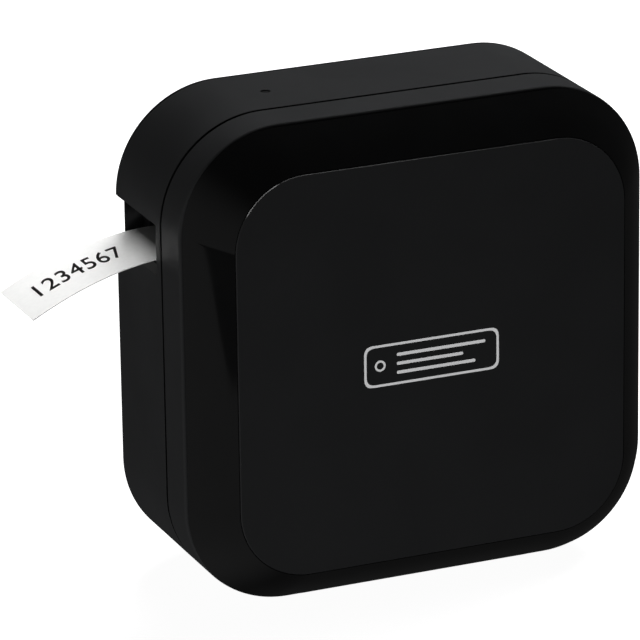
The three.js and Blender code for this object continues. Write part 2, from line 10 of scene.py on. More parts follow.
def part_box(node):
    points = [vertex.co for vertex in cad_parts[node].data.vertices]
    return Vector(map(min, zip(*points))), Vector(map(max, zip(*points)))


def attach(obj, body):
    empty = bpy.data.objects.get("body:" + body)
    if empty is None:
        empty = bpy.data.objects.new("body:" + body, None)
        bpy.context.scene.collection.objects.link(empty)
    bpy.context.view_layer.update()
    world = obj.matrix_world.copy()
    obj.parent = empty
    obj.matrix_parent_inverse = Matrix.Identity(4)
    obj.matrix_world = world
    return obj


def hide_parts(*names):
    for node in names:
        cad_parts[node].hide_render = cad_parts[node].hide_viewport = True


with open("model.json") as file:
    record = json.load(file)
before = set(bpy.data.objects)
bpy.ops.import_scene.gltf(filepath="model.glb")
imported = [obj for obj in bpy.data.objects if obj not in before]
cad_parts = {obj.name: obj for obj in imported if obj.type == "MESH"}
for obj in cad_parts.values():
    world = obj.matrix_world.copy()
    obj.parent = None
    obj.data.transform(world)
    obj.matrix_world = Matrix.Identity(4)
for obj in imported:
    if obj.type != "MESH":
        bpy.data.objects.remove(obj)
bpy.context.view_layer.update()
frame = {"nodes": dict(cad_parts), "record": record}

# ---------------------------------------------------------------- driving values, millimetres

MM = 0.001
NODES = frame["nodes"]
BODY_OF = {node: body for body, nodes in frame["record"]["behaviour"]["bodies"].items() for node in nodes}


def box_mm(node):
    low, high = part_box(node)
    return low / MM, high / MM


def middle_mm(node):
    low, high = box_mm(node)
    return (low + high) / 2


REAR_LOW, REAR_HIGH = box_mm("rear_shell")
FRONT_LOW, _ = box_mm("front_shell")
_, BEZEL_HIGH = box_mm("front_bezel")
PANEL_LOW, PANEL_HIGH = box_mm("front_panel")
COVER_LOW, COVER_HIGH = box_mm("cover_shell")
STRIP_LOW, STRIP_HIGH = box_mm("label_strip")

HALF_W = REAR_HIGH.x
HALF_H = (REAR_HIGH.z - REAR_LOW.z) / 2
MID_Z = (REAR_HIGH.z + REAR_LOW.z) / 2

# Outlines of the case, as (half width, half height, corner radius).
SIDE = (HALF_W, HALF_H, 27.7)
RING = (BEZEL_HIGH.x, HALF_H - 0.8, 25.5)          # rear edge of the gloss border
PANEL = (PANEL_HIGH.x, (PANEL_HIGH.z - PANEL_LOW.z) / 2, 19.0)
SHELF = (50.5, 50.2, 16.5)                         # opening in the border behind the panel
BACK = (53.7, 53.2, 19.0)                          # flat field of the rear cover

WALL = 2.4
PANEL_EDGE = {"in": 0.14, "back": 0.4}             # polished bevel round the front panel
CAP_Y = COVER_LOW.y - 0.3                          # rear edge of the side walls
SEAM = {"front": REAR_LOW.y - 0.85, "rear": REAR_LOW.y + 0.25, "depth": 1.1}   # gap between the shells
RECESS = {"y0": -5.5, "y1": 26.2, "z0": 87.5, "z1": 100.0, "depth": 9.0}
RECESS_X = -HALF_W + RECESS["depth"]               # inner wall of the label recess
# Each hinge pin carries two knuckles of the case, a pitch apart, and the cover's barrel between them.
HINGE = {"length": 10, "knuckle": 3, "pitch": 7, "gap": 0.3, "radius": 1.6, "bore": 0.9, "relief": 2.75}
CATCH = {"hook": 4.0, "pad": 4.4, "slot": 4.8, "shield": 5.6}   # half heights, about the middle of the case
LABEL = {"bend_x": -53.0, "end_x": -96.3, "curl": 0.00635, "z": 90.4, "thick": 0.22}
DIGITS = {"length": 23.2, "centre_x": -79.9, "proud": 0.02, "thick": 0.05, "tall": 1.65, "bold": 0.007}
NOTCH = {"x": -28.0, "z": 76.0}                    # inner corner of the cassette's L shape
SNAPS = [(38.2, 42), (38.2, 84), (-46.6, 42), (-46.6, 66)]   # slots in the cassette's rim, (x, z)
CORNER_STEPS = 28
SIDE_STEPS = 8

CAMERA = {"azimuth": -22.88, "elevation": 19.25, "roll": -0.857, "distance": 1384.7, "lens": 304.0}
CAMERA_TARGET = Vector((-19.69, -6.0, 68.25))
FLOOR_REACH = 6000
SURROUND = {"dim": 0.02, "bright": 0.138, "side": (-0.82, -0.25, -0.42)}   # side faces the bright part
FLAG_X = -464
FLAG_OUTLINE = [(-70, -22), (-104, -40), (-135, -62), (-176, -94), (-230, -94), (-230, -22)]   # (y, z)

# ---------------------------------------------------------------- camera, floor and light


def make_camera():
    azimuth, elevation, roll = (math.radians(CAMERA[k]) for k in ("azimuth", "elevation", "roll"))
    back = Vector((math.sin(azimuth) * math.cos(elevation), -math.cos(azimuth) * math.cos(elevation),
                   math.sin(elevation)))
    level = Vector((math.cos(azimuth), math.sin(azimuth), 0))
    upright = back.cross(level)
    right = level * math.cos(roll) + upright * math.sin(roll)
    up = upright * math.cos(roll) - level * math.sin(roll)
    place = (CAMERA_TARGET + back * CAMERA["distance"]) * MM
    data = bpy.data.cameras.new("camera")
    data.lens = CAMERA["lens"]
    data.clip_start, data.clip_end = 0.05, 20
    camera = bpy.data.objects.new("camera", data)
    camera.matrix_world = Matrix.Translation(place) @ Matrix((right, up, back)).transposed().to_4x4()
    bpy.context.scene.collection.objects.link(camera)
    bpy.context.scene.camera = camera


def make_light(name, heading, distance, size, power, along=(0, 0, 1)):
    """A soft light that shines from heading towards the middle of the object, its height along.

    The distance and the size (across, along) are in metres, the power in watts."""
    direction = Vector(heading).normalized()
    width = Vector(along).cross(direction).normalized()
    height = direction.cross(width)
    data = bpy.data.lights.new(name, "AREA")
    data.shape = "RECTANGLE"
    data.size, data.size_y = size
    data.energy = power
    light = bpy.data.objects.new(name, data)
    turn = Matrix((width, height, direction)).transposed().to_4x4()
    light.matrix_world = Matrix.Translation(Vector((0, 0, MID_Z * MM)) + direction * distance) @ turn
    bpy.context.scene.collection.objects.link(light)
    return light


def flat_stage(name, corners, material):
    """A flat surface that isn't part of the object, from its corners in millimetres."""
    mesh = bpy.data.meshes.new(name)
    mesh.from_pydata([Vector(corner) * MM for corner in corners], [], [tuple(range(len(corners)))])
    mesh.materials.append(material)
    surface = bpy.data.objects.new(name, mesh)
    bpy.context.scene.collection.objects.link(surface)
    return surface


def make_floor():
    """A pale floor that glows, so that the object's shadow on it stays faint."""
    paint = plain_material("floor_paint", (0.3, 0.3, 0.3), 0.9)
    shader = paint.node_tree.nodes["Principled BSDF"]
    shader.inputs["Specular IOR Level"].default_value = 0.0
    shader.inputs["Emission Color"].default_value = (1, 1, 1, 1)
    shader.inputs["Emission Strength"].default_value = 0.965
    reach = FLOOR_REACH
    corners = [(-reach, -reach, 0), (reach, -reach, 0), (reach, reach, 0), (-reach, reach, 0)]
    floor = flat_stage("floor", corners, paint)
    floor.visible_glossy = floor.visible_diffuse = floor.visible_shadow = False


def make_surround():
    """A world that is white to the camera, and to the object dim with one brighter side."""
    world = bpy.data.worlds.new("studio")
    bpy.context.scene.world = world
    world.use_nodes = True
    tree = world.node_tree
    tree.nodes.clear()
    path = tree.nodes.new("ShaderNodeLightPath")
    seen = tree.nodes.new("ShaderNodeBackground")
    seen.inputs["Color"].default_value = (1, 1, 1, 1)
    fill = tree.nodes.new("ShaderNodeBackground")
    place = tree.nodes.new("ShaderNodeTexCoord")
    facing = tree.nodes.new("ShaderNodeVectorMath")
    facing.operation = "DOT_PRODUCT"
    facing.inputs[1].default_value = Vector(SURROUND["side"]).normalized()
    spread = add_range(tree, facing.outputs["Value"], (0.25, 0.9), (SURROUND["dim"], SURROUND["bright"]))
    spread.interpolation_type = "SMOOTHSTEP"
    tree.links.new(place.outputs["Generated"], facing.inputs[0])
    tree.links.new(spread.outputs[0], fill.inputs["Color"])
    mix = tree.nodes.new("ShaderNodeMixShader")
    out = tree.nodes.new("ShaderNodeOutputWorld")
    tree.links.new(path.outputs["Is Camera Ray"], mix.inputs[0])
    tree.links.new(fill.outputs[0], mix.inputs[1])
    tree.links.new(seen.outputs[0], mix.inputs[2])
    tree.links.new(mix.outputs[0], out.inputs["Surface"])


def make_key_lights():
    """A large light above and behind, and a long low one at the left."""
    for name, heading, distance, size, power in (
        ("key_above", (0.6, 0.6, 1.0), 1.1, (1.0, 0.8), 26),
        ("key_left", (-0.95, -0.6, -0.58), 1.3, (0.8, 0.12), 9.7),
    ):
        make_light(name, heading, distance, size, power).visible_glossy = False


def make_flag():
    """A dark card beside the object, seen only as a dark wedge reflected in the gloss border."""
    paint = plain_material("flag_paint", (0, 0, 0), 1.0)
    paint.node_tree.nodes["Principled BSDF"].inputs["Emission Strength"].default_value = 0.03
    flag = flat_stage("flag", [(FLAG_X, y, z) for y, z in FLAG_OUTLINE], paint)
    flag.visible_camera = flag.visible_diffuse = flag.visible_shadow = False


def light_only(light, pieces):
    """Keeps a light for the named pieces, as a snoot does in a studio."""
    lit = bpy.data.collections.new(f"{light.name}_lights")
    for piece in pieces:
        lit.objects.link(piece)
    light.light_linking.receiver_collection = lit


def make_rim_lights(panel):
    """The strip that shines along the panel's polished edge, and its fainter end."""
    for name, heading, size, power, along in (
        ("rim", (-0.54, 0.376, 0.75), (0.1, 1.0), 2.2, (0.4, 0.015, 0.28)),
        ("rim_tail", (0.16, 0.437, 0.885), (0.1, 0.62), 0.28, (0.45, 0.066, -0.11)),
    ):
        light = make_light(name, heading, 1.2, size, power, along)
        light.visible_diffuse = False
        light_only(light, [panel])


def make_mark_light(mark):
    """A weak light from the front that lifts the printed mark out of the dark panel."""
    light = make_light("mark_light", (-0.3, -1, 0.3), 0.9, (0.5, 0.5), 3.0)
    light.visible_glossy = False
    light_only(light, [mark])


def make_label_light(label, digits):
    """A small light over the label instead of over the middle of the object."""
    light = make_light("label_light", (-0.07, 0, 1), 0.4, (0.1, 0.24), 0.66, along=(1, 0, 0))
    light.location = (-0.12, -0.005, 0.44)
    light.visible_glossy = False
    light_only(light, [label, digits])


# ---------------------------------------------------------------- materials


def plain_material(name, color, roughness):
    material = bpy.data.materials.new(name)
    material.use_nodes = True
    shader = material.node_tree.nodes["Principled BSDF"]
    shader.inputs["Base Color"].default_value = (*color, 1)
    shader.inputs["Roughness"].default_value = roughness
    return material


def add_noise(tree, place, scale, detail):
    noise = tree.nodes.new("ShaderNodeTexNoise")
    noise.inputs["Scale"].default_value = scale
    noise.inputs["Detail"].default_value = detail
    tree.links.new(place.outputs["Object"], noise.inputs["Vector"])
    return noise


def add_range(tree, source, start, end):
    """Maps a value from one range to another."""
    spread = tree.nodes.new("ShaderNodeMapRange")
    for socket, value in zip(("From Min", "From Max", "To Min", "To Max"), (*start, *end)):
        spread.inputs[socket].default_value = value
    tree.links.new(source, spread.inputs["Value"])
    return spread


def textured(name, dark, light, rough, grain, bump, settings):
    """A material whose colour, roughness and surface all vary a little with fine noise.

    dark and light are the ends of the colour variation, rough the ends of the roughness, grain the
    size of the moulded texture in millimetres and bump its height in millimetres."""
    material = plain_material(name, dark, rough[0])
    tree = material.node_tree
    shader = tree.nodes["Principled BSDF"]
    for socket, value in settings.items():
        shader.inputs[socket].default_value = value
    place = tree.nodes.new("ShaderNodeTexCoord")
    fine = add_noise(tree, place, 1 / (grain * MM), 2)
    broad = add_noise(tree, place, 1 / (24 * MM), 3)
    colour = tree.nodes.new("ShaderNodeMix")
    colour.data_type = "RGBA"
    colour.inputs["A"].default_value = (*dark, 1)
    colour.inputs["B"].default_value = (*light, 1)
    blend = tree.nodes.new("ShaderNodeMath")
    blend.operation = "MULTIPLY"
    tree.links.new(fine.outputs["Fac"], blend.inputs[0])
    tree.links.new(broad.outputs["Fac"], blend.inputs[1])
    spread = add_range(tree, blend.outputs[0], (0.12, 0.42), (0, 1))
    tree.links.new(spread.outputs[0], colour.inputs["Factor"])
    tree.links.new(colour.outputs["Result"], shader.inputs["Base Color"])
    polish = add_range(tree, broad.outputs["Fac"], (0.35, 0.65), rough)
    tree.links.new(polish.outputs[0], shader.inputs["Roughness"])
    relief = tree.nodes.new("ShaderNodeBump")
    relief.inputs["Strength"].default_value = 0.6
    relief.inputs["Distance"].default_value = bump * MM
    tree.links.new(fine.outputs["Fac"], relief.inputs["Height"])
    tree.links.new(relief.outputs[0], shader.inputs["Normal"])
    return material


def grey(value):
    """A grey that is a touch cooler than neutral."""
    return (value, value * 1.02, value * 1.06)


def make_materials():
    """Every finish: dark and light colour, ends of the roughness, grain and bump."""
    finishes = {
        "case_matte": (grey(0.017), grey(0.022), (0.5, 0.58), 0.35, 0.012),
        "gloss_black": (grey(0.0025), grey(0.0032), (0.05, 0.09), 9.0, 0.004),
        "panel_matte": (grey(0.023), grey(0.027), (0.42, 0.48), 0.3, 0.006),
        "panel_edge": (grey(0.015), grey(0.018), (0.16, 0.22), 2.0, 0.002),
        # painted shadow: a near-black finish for the walls of the seam gap, standing in for the shade in the
        # groove
        "seam_painted_shadow": (grey(0.002), grey(0.004), (0.8, 0.9), 0.5, 0.01),
        "rubber": (grey(0.010), grey(0.016), (0.75, 0.9), 0.5, 0.03),
        "button_matte": (grey(0.030), grey(0.038), (0.45, 0.55), 0.3, 0.01),
        "light_pipe": (grey(0.012), grey(0.016), (0.2, 0.3), 2.0, 0.004),
        "steel": ((0.5, 0.5, 0.51), (0.6, 0.6, 0.61), (0.24, 0.36), 0.6, 0.004),
        "motor_can": ((0.42, 0.43, 0.44), (0.52, 0.53, 0.54), (0.3, 0.42), 0.8, 0.006),
        "heat_sink": ((0.5, 0.51, 0.52), (0.62, 0.63, 0.64), (0.35, 0.5), 0.5, 0.008),
        "gear_plastic": ((0.66, 0.63, 0.55), (0.74, 0.72, 0.64), (0.4, 0.5), 1.2, 0.006),
        "inner_plastic": (grey(0.010), grey(0.014), (0.45, 0.6), 0.5, 0.012),
        "circuit_board": ((0.01, 0.07, 0.03), (0.02, 0.11, 0.05), (0.3, 0.45), 1.5, 0.01),
        "ceramic_head": ((0.22, 0.23, 0.21), (0.3, 0.31, 0.29), (0.2, 0.3), 1.5, 0.003),
        "battery_wrap": ((0.015, 0.05, 0.11), (0.025, 0.07, 0.14), (0.25, 0.35), 3.0, 0.02),
        "label_white": ((0.86, 0.86, 0.85), (0.91, 0.91, 0.90), (0.28, 0.36), 1.2, 0.003),
        "cassette_grey": (grey(0.31), grey(0.35), (0.42, 0.52), 0.4, 0.012),
        "ribbon_black": (grey(0.008), grey(0.012), (0.2, 0.3), 0.4, 0.01),
        "ink_grey": ((0.72, 0.72, 0.73), (0.8, 0.8, 0.81), (0.35, 0.45), 0.25, 0.004),
        "ink_black": ((0.004, 0.004, 0.004), (0.008, 0.008, 0.008), (0.4, 0.5), 0.25, 0.002),
    }
    settings = {name: {"Metallic": 1.0} for name in ("steel", "motor_can", "heat_sink")}
    # the painted seam shadow reflects little light
    settings["seam_painted_shadow"] = {"Specular IOR Level": 0.1}
    return {name: textured(name, *finish, settings.get(name, {})) for name, finish in finishes.items()}


# ---------------------------------------------------------------- mesh building


def new_piece(name, vertices, faces):
    """An object from points in millimetres."""
    mesh = bpy.data.meshes.new(name)
    mesh.from_pydata([Vector(v) * MM for v in vertices], [], faces)
    mesh.validate()
    piece = bpy.data.objects.new(name, mesh)
    bpy.context.scene.collection.objects.link(piece)
    face_outwards(piece)
    return piece


def face_outwards(piece):
    work = bmesh.new()
    work.from_mesh(piece.data)
    bmesh.ops.recalc_face_normals(work, faces=work.faces)
    work.to_mesh(piece.data)
    work.free()


def ring_points(half_x, half_z, radius, y):
    """Points round a rounded rectangle at depth y, counter-clockwise seen from the front."""
    centres = [(half_x - radius, half_z - radius), (radius - half_x, half_z - radius),
               (radius - half_x, radius - half_z), (half_x - radius, radius - half_z)]

    def corner_point(quarter, angle):
        x, z = centres[quarter % 4]
        return Vector((x + radius * math.cos(angle), y, MID_Z + z + radius * math.sin(angle)))

    points = []
    for quarter in range(4):
        for step in range(CORNER_STEPS + 1):
            points.append(corner_point(quarter, (quarter + step / CORNER_STEPS) * math.pi / 2))
        start = points[-1]
        end = corner_point(quarter + 1, (quarter + 1) * math.pi / 2)
        points += [start.lerp(end, step / SIDE_STEPS) for step in range(1, SIDE_STEPS)]
    return points


def sweep(name, stations, closed):
    """A surface through rounded-rectangle rings (half width, half height, radius, y).

    Closed joins the last ring to the first, for a tube; otherwise both ends get a flat cap."""
    rings = [ring_points(*station) for station in stations]
    count = len(rings[0])
    vertices = [p for ring in rings for p in ring]
    faces = []
    spans = len(rings) if closed else len(rings) - 1
    for i in range(spans):
        a, b = i * count, (i + 1) % len(rings) * count
        faces += [(a + k, a + (k + 1) % count, b + (k + 1) % count, b + k) for k in range(count)]
    if not closed:
        faces += [tuple(range(count)), tuple(range((len(rings) - 1) * count, len(rings) * count))]
    return new_piece(name, vertices, faces)


def inset(outline, amount):
    half_x, half_z, radius = outline
    return (half_x - amount, half_z - amount, radius - amount)


def between(first, second, share):
    return tuple(a + (b - a) * share for a, b in zip(first, second))


def edge_round(outline, y, radius, heading, steps=4):
    """Rings of a rounded edge between a side wall and the end face at y.

    heading is +1 where the end face looks towards +Y; the rings run from the wall to that face."""
    angles = [step / steps * math.pi / 2 for step in range(steps + 1)]
    return [(*inset(outline, radius * (1 - math.cos(t))), y - heading * radius * (1 - math.sin(t)))
            for t in angles]


def ends_and_sides(count):
    """The faces between two rings of count points, the second after the first, and the two ends."""
    faces = [(k, (k + 1) % count, count + (k + 1) % count, count + k) for k in range(count)]
    return faces + [tuple(range(count)), tuple(range(count, 2 * count))]


def prism(name, outline, y0, y1):
    """A solid from an outline of (x, z) points, between two depths."""
    return new_piece(name, [(x, y, z) for y in (y0, y1) for x, z in outline], ends_and_sides(len(outline)))


def floor_prism(name, outline, z0, z1):
    """A solid from an outline of (x, y) points, between two heights."""
    return new_piece(name, [(x, y, z) for z in (z0, z1) for x, y in outline], ends_and_sides(len(outline)))


def block(name, low, high):
    outline = [(low[0], low[2]), (high[0], low[2]), (high[0], high[2]), (low[0], high[2])]
    return prism(name, outline, low[1], high[1])


def rod(name, start, end, radius, sides=48):
    """A cylinder between two points, for cutting and joining."""
    start, end = Vector(start), Vector(end)
    axis = (end - start).normalized()
    across = axis.orthogonal().normalized()
    other = axis.cross(across)
    vertices = []
    for centre in (start, end):
        for k in range(sides):
            angle = k / sides * 2 * math.pi
            vertices.append(centre + (across * math.cos(angle) + other * math.sin(angle)) * radius)
    return new_piece(name, vertices, ends_and_sides(sides))


def turned(name, profile, axis, sides=64):
    """A turned body from (along, radius) points, round an axis through a point: ("x" or "z", point)."""
    direction, centre = axis
    along = Vector((1, 0, 0)) if direction == "x" else Vector((0, 0, 1))
    across = Vector((0, 1, 0))
    other = along.cross(across)
    vertices, faces = [], []
    for distance, radius in profile:
        for k in range(sides):
            angle = k / sides * 2 * math.pi
            spoke = across * math.cos(angle) + other * math.sin(angle)
            vertices.append(Vector(centre) + along * distance + spoke * radius)
    for i in range(len(profile) - 1):
        for k in range(sides):
            n = (k + 1) % sides
            faces.append((i * sides + k, i * sides + n, (i + 1) * sides + n, (i + 1) * sides + k))
    last = (len(profile) - 1) * sides
    faces += [tuple(range(sides)), tuple(range(last, last + sides))]
    return new_piece(name, vertices, faces)


def softened(points, radius, steps=5):
    """The polygon with each corner turned into a short curve that starts radius away from it."""
    curve = []
    for k, point in enumerate(points):
        corner = Vector(point)
        before, after = Vector(points[k - 1]), Vector(points[(k + 1) % len(points)])
        reach = min(radius, (before - corner).length * 0.45, (after - corner).length * 0.45)
        start = corner + (before - corner).normalized() * reach
        end = corner + (after - corner).normalized() * reach
        for step in range(steps + 1):
            t = step / steps
            curve.append(tuple(start * (1 - t) ** 2 + corner * 2 * t * (1 - t) + end * t * t))
    return curve


def rectangle(x0, x1, z0, z1, radius=0.0):
    corners = [(x0, z0), (x1, z0), (x1, z1), (x0, z1)]
    return softened(corners, radius) if radius else corners


def bake_modifiers(piece):
    graph = bpy.context.evaluated_depsgraph_get()
    mesh = bpy.data.meshes.new_from_object(piece.evaluated_get(graph))
    old = piece.data
    piece.modifiers.clear()
    piece.data = mesh
    bpy.data.meshes.remove(old)


def combine(piece, tools, operation):
    for tool in tools:
        step = piece.modifiers.new("combine", "BOOLEAN")
        step.operation = operation
        step.solver = "EXACT"
        step.object = tool
    bake_modifiers(piece)
    for tool in tools:
        bpy.data.objects.remove(tool)


def cut(piece, *tools):
    combine(piece, tools, "DIFFERENCE")


def join(piece, *tools):
    combine(piece, tools, "UNION")


def merge(name, parts):
    """One object from several, with their meshes side by side."""
    work = bmesh.new()
    for part in parts:
        work.from_mesh(part.data)
        bpy.data.objects.remove(part)
    mesh = bpy.data.meshes.new(name)
    work.to_mesh(mesh)
    work.free()
    piece = bpy.data.objects.new(name, mesh)
    bpy.context.scene.collection.objects.link(piece)
    return piece


def round_edges(piece, width, angle=40, segments=3):
    step = piece.modifiers.new("round", "BEVEL")
    step.width = width * MM
    step.segments = segments
    step.limit_method = "ANGLE"
    step.angle_limit = math.radians(angle)
    bake_modifiers(piece)
    drop_slivers(piece)


def drop_slivers(piece, size=0.004):
    """Closes up faces and edges shorter than size millimetres, which rounding leaves behind."""
    work = bmesh.new()
    work.from_mesh(piece.data)
    bmesh.ops.remove_doubles(work, verts=work.verts, dist=size * MM)
    bmesh.ops.dissolve_degenerate(work, edges=work.edges, dist=size * MM)
    loose = [v for v in work.verts if not v.link_faces]
    bmesh.ops.delete(work, geom=loose, context="VERTS")
    work.to_mesh(piece.data)
    work.free()


def smooth(piece, angle=35):
    piece.data.polygons.foreach_set("use_smooth", [True] * len(piece.data.polygons))
    piece.data.set_sharp_from_angle(angle=math.radians(angle))
    weights = piece.modifiers.new("normals", "WEIGHTED_NORMAL")
    weights.keep_sharp = True
    weights.weight = 80


def paint_piece(piece, material):
    piece.data.materials.clear()
    piece.data.materials.append(MATERIALS[material])


def finish_piece(piece, node, slot_name, sharp=35):
    """Shades a piece, gives it its material and lets it stand for its CAD node."""
    smooth(piece, sharp)
    paint_piece(piece, slot_name)
    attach(piece, BODY_OF[node])
    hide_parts(node)
    return piece


# ---------------------------------------------------------------- case


def paint_seam_shadow(shell, inside):
    """Paints shadow on the walls of the gap between the shells, the faces whose depth is inside it."""
    shell.data.materials.append(MATERIALS["seam_painted_shadow"])
    for face in shell.data.polygons:
        face.material_index = 1 if inside(face.center.y / MM) else 0


def recess_outline():
    """The label recess seen from the front: open to the left, with a floor that slopes out."""
    z0, z1 = RECESS["z0"], RECESS["z1"]
    outside = -HALF_W - 3
    return softened([
        (outside, z1), (RECESS_X, z1), (RECESS_X, z0 + 1.3), (-HALF_W + 3, z0 + 0.3), (-HALF_W, z0 - 0.9),
        (outside, z0 - 2.5),
    ], 1.2)


def hinge_axes():
    """The lower end of each hinge pin's axis."""
    ends = []
    for k in (1, 2):
        low, high = box_mm(f"cover_hinge_pin_{k}")
        middle = (low + high) / 2
        ends.append(Vector((middle.x, middle.y, low.z)))
    return ends


def on_axis(name, end, z0, z1, radius, sides):
    """A rod on a hinge axis, between two heights above its lower end."""
    return rod(name, (end.x, end.y, end.z + z0), (end.x, end.y, end.z + z1), radius, sides)


def hinge_bores():
    return [on_axis("bore", end, -1, HINGE["length"] + 1, HINGE["bore"], 24) for end in hinge_axes()]


def case_knuckles():
    """The case's two knuckles at each hinge pin, and the webs that carry them."""
    parts = []
    radius, height = HINGE["radius"], HINGE["knuckle"]
    for end in hinge_axes():
        for z in (0, HINGE["pitch"]):
            web_low = (end.x - radius, CAP_Y - 1.5, end.z + z)
            web_high = (end.x + radius, end.y, end.z + z + height)
            parts += [on_axis("lug", end, z, z + height, radius, 32), block("lug_web", web_low, web_high)]
    return parts


def foot_pocket(node):
    low, high = box_mm(node)
    gap = Vector((0.3, 0.3, 0.3))
    return block("pocket", low - gap, high + gap)


def make_rear_shell():
    y0 = SEAM["rear"]
    stations = list(reversed(edge_round(SIDE, y0, 0.15, -1))) + edge_round(SIDE, CAP_Y, 0.4, 1)
    stations += [(*inset(SIDE, WALL), CAP_Y), (*inset(SIDE, WALL), y0)]
    shell = sweep("rear_case", stations, closed=True)
    hinge, light = hinge_axes()[0], middle_mm("status_light_pipe")
    cut(
        shell,
        prism("recess", recess_outline(), RECESS["y0"], CAP_Y + 1),
        rod("relief", (hinge.x, hinge.y, MID_Z - 48), (hinge.x, hinge.y, MID_Z + 48), HINGE["relief"]),
        foot_pocket("rear_foot"),
        rod("light_hole", (light.x, light.y, 100), (light.x, light.y, 140), 1.32),
    )
    rib = block("catch_rib", (-HALF_W + 1, 16, MID_Z - CATCH["hook"]), (-59.5, 18.2, MID_Z + CATCH["hook"]))
    join(shell, *case_knuckles(), rib)
    cut(shell, *hinge_bores())
    finish_piece(shell, "rear_shell", "case_matte")
    # painted shadow on the rear shell's walls of the seam gap
    paint_seam_shadow(shell, lambda y: y < y0 + 0.01)


def make_exit_guide():
    low, high = box_mm("exit_guide")
    guide = block("exit_liner", low, high)
    slot_low = (RECESS_X - 1, -3.2, LABEL["z"] - 1.5)
    slot_high = (RECESS_X + 3, CAP_Y + 1, LABEL["z"] + 1.6)
    cut(guide, prism("recess", recess_outline(), RECESS["y0"], CAP_Y + 1), block("slot", slot_low, slot_high))
    round_edges(guide, 0.25)
    finish_piece(guide, "exit_guide", "inner_plastic")


def make_front_shell():
    """The band in front of the seam, with its tongue behind it and the ledge for the gloss border."""
    y1, step_y, tongue_y = SEAM["front"], SEAM["rear"] - 0.1, SEAM["rear"] + 0.7
    ring_y = FRONT_LOW.y
    tongue_out, tongue_in, ledge_in = WALL + 0.3, 4.2, 6.5
    stations = list(reversed(edge_round(SIDE, ring_y, 0.8, -1, 6))) + edge_round(SIDE, y1, 0.15, 1)
    stations += [(*inset(SIDE, amount), y) for amount, y in (
        (SEAM["depth"], y1), (SEAM["depth"], step_y), (tongue_out, step_y), (tongue_out, tongue_y),
        (tongue_in, tongue_y), (tongue_in, y1 - 1.8), (WALL, y1 - 1.8), (WALL, ring_y + 1.6),
        (ledge_in, ring_y + 1.6), (ledge_in, ring_y),
    )]
    shell = sweep("front_case", stations, closed=True)
    socket_low, socket_high = box_mm("charging_socket")
    tools = [
        foot_pocket("front_foot"),
        block("socket_hole", socket_low - Vector((0, 0.3, 0.3)), socket_high + Vector((9, 0.3, 0.3))),
    ]
    for name in ("power_button", "feed_button"):
        middle = middle_mm(name)
        tools.append(rod("button_hole", (50, middle.y, middle.z), (70, middle.y, middle.z), 3.8))
    cut(shell, *tools)
    finish_piece(shell, "front_shell", "case_matte")
    # painted shadow on the front shell's walls of the seam gap
    paint_seam_shadow(shell, lambda y: y > y1 - 0.01)


def sloped_border(start, end, y_start, y_end, crown=0.35, steps=10):
    """Rings of the sloping border from one outline to the other, bulging slightly outwards."""
    rings = []
    sideways, endways = 0.6, 0.8
    heading = 1 if y_end > y_start else -1
    for step in range(steps + 1):
        t = step / steps
        bulge = crown * math.sin(math.pi * t)
        rings.append((*inset(between(start, end, t), -bulge * sideways),
                      y_start + (y_end - y_start) * t - heading * bulge * endways))
    return rings


def make_front_bezel():
    front_y, back_y = PANEL_LOW.y + PANEL_EDGE["back"], BEZEL_HIGH.y
    pocket = (PANEL[0] + 0.12, PANEL[1] + 0.12, PANEL[2] + 0.1)
    shelf_y = PANEL_HIGH.y + 0.3
    stations = sloped_border(inset(PANEL, -0.3), RING, front_y, back_y)
    stations += [(*inset(RING, amount), y) for amount, y in (
        (0.6, back_y), (0.6, back_y + 0.2), (2.6, back_y + 0.2),
    )]
    stations += [(SHELF[0] + 0.3, SHELF[1] + 0.3, SHELF[2] + 0.5, shelf_y + 2), (*SHELF, shelf_y),
                 (*pocket, shelf_y), (*pocket, front_y + 0.1), (*inset(pocket, -0.1), front_y)]
    bezel = sweep("gloss_border", stations, closed=True)
    finish_piece(bezel, "front_bezel", "gloss_black")


def make_front_panel():
    plate = inset(PANEL, -0.08)
    front_y, bevel = PANEL_LOW.y, PANEL_EDGE["in"]
    stations = [(*inset(plate, bevel + 0.03), front_y), (*inset(plate, bevel), front_y + 0.02),
                (*plate, front_y + PANEL_EDGE["back"]), (*plate, PANEL_HIGH.y)]
    panel = sweep("front_plate", stations, closed=False)
    finish_piece(panel, "front_panel", "panel_matte", sharp=10)
    panel.data.materials.append(MATERIALS["panel_edge"])
    for face in panel.data.polygons:
        face.material_index = 0 if len(face.vertices) > 4 else 1
    return panel


def band(name, outline, width, y0, y1):
    """A flat outlined shape: the ring between an outline and the same outline drawn in by width."""
    middle = sum((Vector(p) for p in outline), Vector((0, 0))) / len(outline)
    xs, zs = [p[0] for p in outline], [p[1] for p in outline]
    shrink_x = 1 - 2 * width / (max(xs) - min(xs))
    shrink_z = 1 - 2 * width / (max(zs) - min(zs))
    inner = [(middle.x + (x - middle.x) * shrink_x, middle.y + (z - middle.y) * shrink_z) for x, z in outline]
    count = len(outline)
    vertices = [(x, y, z) for y in (y0, y1) for x, z in [*outline, *inner]]
    faces = []
    for k in range(count):
        n = (k + 1) % count
        faces += [
            (k, n, count + n, count + k),
            (2 * count + k, 2 * count + n, 3 * count + n, 3 * count + k),
            (k, n, 2 * count + n, 2 * count + k),
            (count + k, count + n, 3 * count + n, 3 * count + k),
        ]
    return new_piece(name, vertices, faces)


